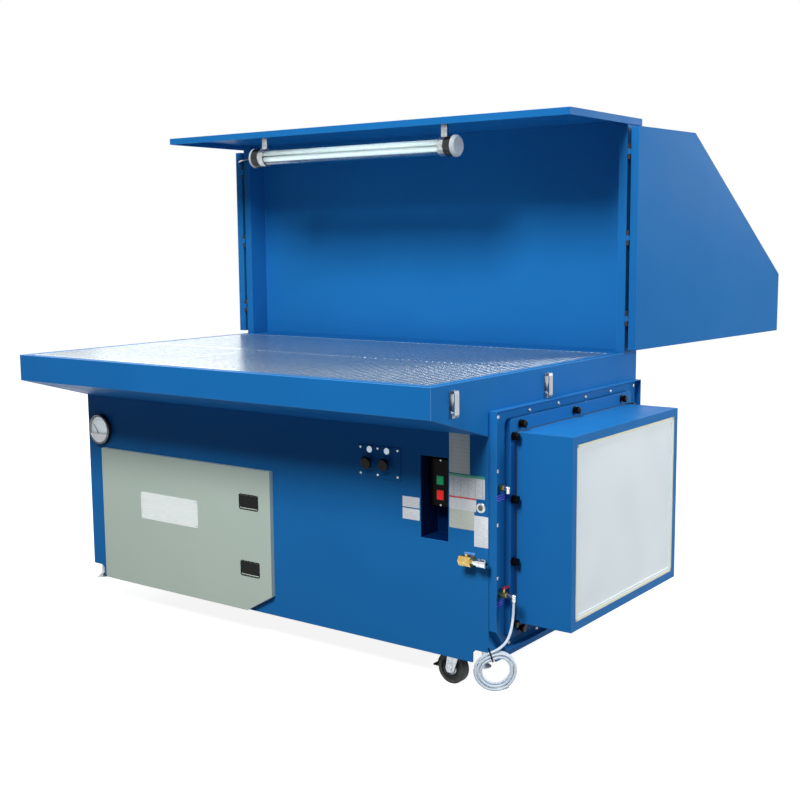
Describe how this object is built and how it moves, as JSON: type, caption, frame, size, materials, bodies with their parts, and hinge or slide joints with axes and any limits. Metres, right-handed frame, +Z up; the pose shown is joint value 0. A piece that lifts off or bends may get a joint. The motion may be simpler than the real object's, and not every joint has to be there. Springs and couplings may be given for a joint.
{
  "type": "downdraft table",
  "caption": "Blue steel downdraft work table with slotted grates, folding side wings, rear backsplash, canopy with light, filter cabinet, side after-filter and casters.",
  "frame": {"origin": "on the floor under the middle of the table's outer box, hose left out", "axes": "+X to the right seen from the working side, +Y to the backsplash, +Z up"},
  "size_m": [2.1902, 2.3682, 1.811],
  "materials": {
    "blue_paint": "semi-gloss blue paint",
    "grey_paint": "semi-gloss grey-green paint",
    "galvanised": "galvanised sheet",
    "stainless": "stainless steel",
    "zinc": "zinc plated steel",
    "chrome": "polished",
    "brass": "satin brass",
    "black_plastic": "matte black",
    "red_plastic": "gloss red",
    "green_plastic": "gloss green",
    "blue_plastic": "gloss blue",
    "clear_tube": "clear acrylic tube",
    "hose": "clear soft tube",
    "media": "white pleated filter paper",
    "rubber": "black rubber",
    "dark_steel": "grey primer"
  },
  "bodies": {
    "table": {"tray_shell": "blue_paint", "work_grates": "galvanised", "front_panel": "blue_paint", "cabinet_wrap": "blue_paint", "base_frame": "dark_steel", "inner_partitions": "galvanised", "backsplash": "blue_paint", "canopy": "blue_paint", "wing_hinge_posts": "stainless", "draw_latch_bases": "stainless", "work_light_tube": "clear_tube", "work_light_mounts": "zinc", "gauge_case": "black_plastic", "control_plate": "blue_paint", "starter_box": "black_plastic", "side_cover": "blue_paint", "cover_bolts": "zinc", "filter_mount_plate": "blue_paint", "clamp_knobs": "black_plastic", "after_filter_casing": "blue_paint", "hepa_cell": "media", "valve_bodies": "brass", "drain_hose": "hose", "drain_hose_coil": "hose", "hose_tie": "black_plastic", "caster_plates": "zinc", "filter_cartridges": "media", "air_tank": "dark_steel", "blower": "dark_steel", "dust_tray": "galvanised"},
    "wing_right": {"wing_right": "blue_paint"},
    "wing_left": {"wing_left": "blue_paint"},
    "door": {"door": "grey_paint"},
    "door_paddle_upper": {"door_paddle_upper": "black_plastic"},
    "door_paddle_lower": {"door_paddle_lower": "black_plastic"},
    "impeller": {"impeller": "dark_steel"},
    "start_button": {"start_button": "green_plastic"},
    "stop_button": {"stop_button": "red_plastic"},
    "pulse_button_left": {"pulse_button_left": "black_plastic"},
    "pulse_button_right": {"pulse_button_right": "black_plastic"},
    "gauge_needle": {"gauge_needle": "black_plastic"},
    "air_inlet_handle": {"air_inlet_handle": "blue_plastic"},
    "drain_handle": {"drain_handle": "red_plastic"},
    "coupler_sleeve": {"coupler_sleeve": "chrome"},
    "caster_fork_left": {"caster_fork_left": "zinc"},
    "caster_wheel_front_left": {"caster_wheel_front_left": "rubber"},
    "caster_wheel_rear_left": {"caster_wheel_rear_left": "rubber"},
    "caster_pedal_left": {"caster_pedal_left": "black_plastic"},
    "levelling_foot_front_left": {"levelling_foot_front_left": "zinc"},
    "draw_latch_front_left": {"draw_latch_front_left": "stainless"},
    "levelling_foot_rear_left": {"levelling_foot_rear_left": "zinc"},
    "draw_latch_rear_left": {"draw_latch_rear_left": "stainless"},
    "caster_fork_right": {"caster_fork_right": "zinc"},
    "caster_wheel_front_right": {"caster_wheel_front_right": "rubber"},
    "caster_wheel_rear_right": {"caster_wheel_rear_right": "rubber"},
    "caster_pedal_right": {"caster_pedal_right": "black_plastic"},
    "levelling_foot_front_right": {"levelling_foot_front_right": "zinc"},
    "draw_latch_front_right": {"draw_latch_front_right": "stainless"},
    "levelling_foot_rear_right": {"levelling_foot_rear_right": "zinc"},
    "draw_latch_rear_right": {"draw_latch_rear_right": "stainless"}
  },
  "joints": [
    {"name": "wing_right_hinge", "type": "hinge", "parent": "table", "child": "wing_right", "pos_m": [0.88611, 0.01395, 1.3895], "axis": [0, 0, -1], "range_deg": [-4.9, 175.1]},
    {"name": "wing_left_hinge", "type": "hinge", "parent": "table", "child": "wing_left", "pos_m": [-0.95789, 0.01395, 1.3895], "axis": [0, 0, 1], "range_deg": [-4.9, 175.1]},
    {"name": "door_hinge", "type": "hinge", "parent": "table", "child": "door", "pos_m": [-0.86689, -0.89005, 0.359], "axis": [0, 0, -1], "range_deg": [0, 110]},
    {"name": "door_paddle_upper_hinge", "type": "hinge", "parent": "door", "child": "door_paddle_upper", "pos_m": [-0.12889, -0.89805, 0.495], "axis": [0, 0, -1], "range_deg": [0, 35], "stiffness_Nm_per_rad": 0.05, "springref_deg": -11.46},
    {"name": "door_paddle_lower_hinge", "type": "hinge", "parent": "door", "child": "door_paddle_lower", "pos_m": [-0.12889, -0.89805, 0.257], "axis": [0, 0, -1], "range_deg": [0, 35], "stiffness_Nm_per_rad": 0.05, "springref_deg": -11.46},
    {"name": "impeller_spin", "type": "hinge", "parent": "table", "child": "impeller", "pos_m": [0.46911, -0.41505, 0.43], "axis": [0, 1, 0], "continuous": true},
    {"name": "start_button_slide", "type": "slide", "parent": "table", "child": "start_button", "axis": [0, 1, 0], "range_m": [0, 0.004], "stiffness_N_per_m": 300, "springref_m": -0.001},
    {"name": "stop_button_slide", "type": "slide", "parent": "table", "child": "stop_button", "axis": [0, 1, 0], "range_m": [0, 0.004], "stiffness_N_per_m": 300, "springref_m": -0.001},
    {"name": "pulse_button_left_slide", "type": "slide", "parent": "table", "child": "pulse_button_left", "axis": [0, 1, 0], "range_m": [0, 0.005], "stiffness_N_per_m": 400, "springref_m": -0.001},
    {"name": "pulse_button_right_slide", "type": "slide", "parent": "table", "child": "pulse_button_right", "axis": [0, 1, 0], "range_m": [0, 0.005], "stiffness_N_per_m": 400, "springref_m": -0.001},
    {"name": "gauge_needle_hinge", "type": "hinge", "parent": "table", "child": "gauge_needle", "pos_m": [-0.87289, -0.89425, 0.657], "axis": [0, 1, 0], "range_deg": [0, 76], "stiffness_Nm_per_rad": 0.001},
    {"name": "air_inlet_handle_hinge", "type": "hinge", "parent": "table", "child": "air_inlet_handle", "pos_m": [0.81811, -0.91405, 0.45302], "axis": [0, 0, -1], "range_deg": [0, 90]},
    {"name": "drain_handle_hinge", "type": "hinge", "parent": "table", "child": "drain_handle", "pos_m": [0.89661, -0.82405, 0.33283], "axis": [0, 0, -1], "range_deg": [0, 90]},
    {"name": "coupler_sleeve_slide", "type": "slide", "parent": "table", "child": "coupler_sleeve", "axis": [-1, 0, 0], "range_m": [0, 0.006], "stiffness_N_per_m": 200, "springref_m": -0.001},
    {"name": "caster_fork_left_swivel", "type": "hinge", "parent": "table", "child": "caster_fork_left", "pos_m": [-0.76889, -0.47422, 0.1236], "axis": [0, 0, 1], "continuous": true},
    {"name": "caster_wheel_front_left_spin", "type": "hinge", "parent": "caster_fork_left", "child": "caster_wheel_front_left", "pos_m": [-0.79589, -0.47422, 0.05], "axis": [0, 1, 0], "continuous": true},
    {"name": "caster_wheel_rear_left_spin", "type": "hinge", "parent": "table", "child": "caster_wheel_rear_left", "pos_m": [-0.79589, 0.03095, 0.05], "axis": [1, 0, 0], "continuous": true},
    {"name": "caster_pedal_left_hinge", "type": "hinge", "parent": "caster_fork_left", "child": "caster_pedal_left", "pos_m": [-0.79189, -0.47422, 0.108], "axis": [0, 1, 0], "range_deg": [0, 8]},
    {"name": "levelling_foot_front_left_slide", "type": "slide", "parent": "table", "child": "levelling_foot_front_left", "axis": [0, 0, 1], "range_m": [-0.09, 0.005]},
    {"name": "draw_latch_front_left_hinge", "type": "hinge", "parent": "table", "child": "draw_latch_front_left", "pos_m": [-0.95889, -1.07905, 0.903], "axis": [0, -1, 0], "range_deg": [0, 90]},
    {"name": "levelling_foot_rear_left_slide", "type": "slide", "parent": "table", "child": "levelling_foot_rear_left", "axis": [0, 0, 1], "range_m": [-0.09, 0.005]},
    {"name": "draw_latch_rear_left_hinge", "type": "hinge", "parent": "table", "child": "draw_latch_rear_left", "pos_m": [-0.95889, -0.54005, 0.903], "axis": [0, -1, 0], "range_deg": [0, 90]},
    {"name": "caster_fork_right_swivel", "type": "hinge", "parent": "table", "child": "caster_fork_right", "pos_m": [0.74411, -0.83205, 0.1236], "axis": [0, 0, 1], "continuous": true},
    {"name": "caster_wheel_front_right_spin", "type": "hinge", "parent": "caster_fork_right", "child": "caster_wheel_front_right", "pos_m": [0.71711, -0.83205, 0.05], "axis": [0, 1, 0], "continuous": true},
    {"name": "caster_wheel_rear_right_spin", "type": "hinge", "parent": "table", "child": "caster_wheel_rear_right", "pos_m": [0.71711, 0.03095, 0.05], "axis": [1, 0, 0], "continuous": true},
    {"name": "caster_pedal_right_hinge", "type": "hinge", "parent": "caster_fork_right", "child": "caster_pedal_right", "pos_m": [0.72111, -0.83205, 0.108], "axis": [0, 1, 0], "range_deg": [0, 8]},
    {"name": "levelling_foot_front_right_slide", "type": "slide", "parent": "table", "child": "levelling_foot_front_right", "axis": [0, 0, 1], "range_m": [-0.09, 0.005]},
    {"name": "draw_latch_front_right_hinge", "type": "hinge", "parent": "table", "child": "draw_latch_front_right", "pos_m": [0.88711, -1.07905, 0.903], "axis": [0, 1, 0], "range_deg": [0, 90]},
    {"name": "levelling_foot_rear_right_slide", "type": "slide", "parent": "table", "child": "levelling_foot_rear_right", "axis": [0, 0, 1], "range_m": [-0.09, 0.005]},
    {"name": "draw_latch_rear_right_hinge", "type": "hinge", "parent": "table", "child": "draw_latch_rear_right", "pos_m": [0.88711, -0.54005, 0.903], "axis": [0, 1, 0], "range_deg": [0, 90]}
  ]
}
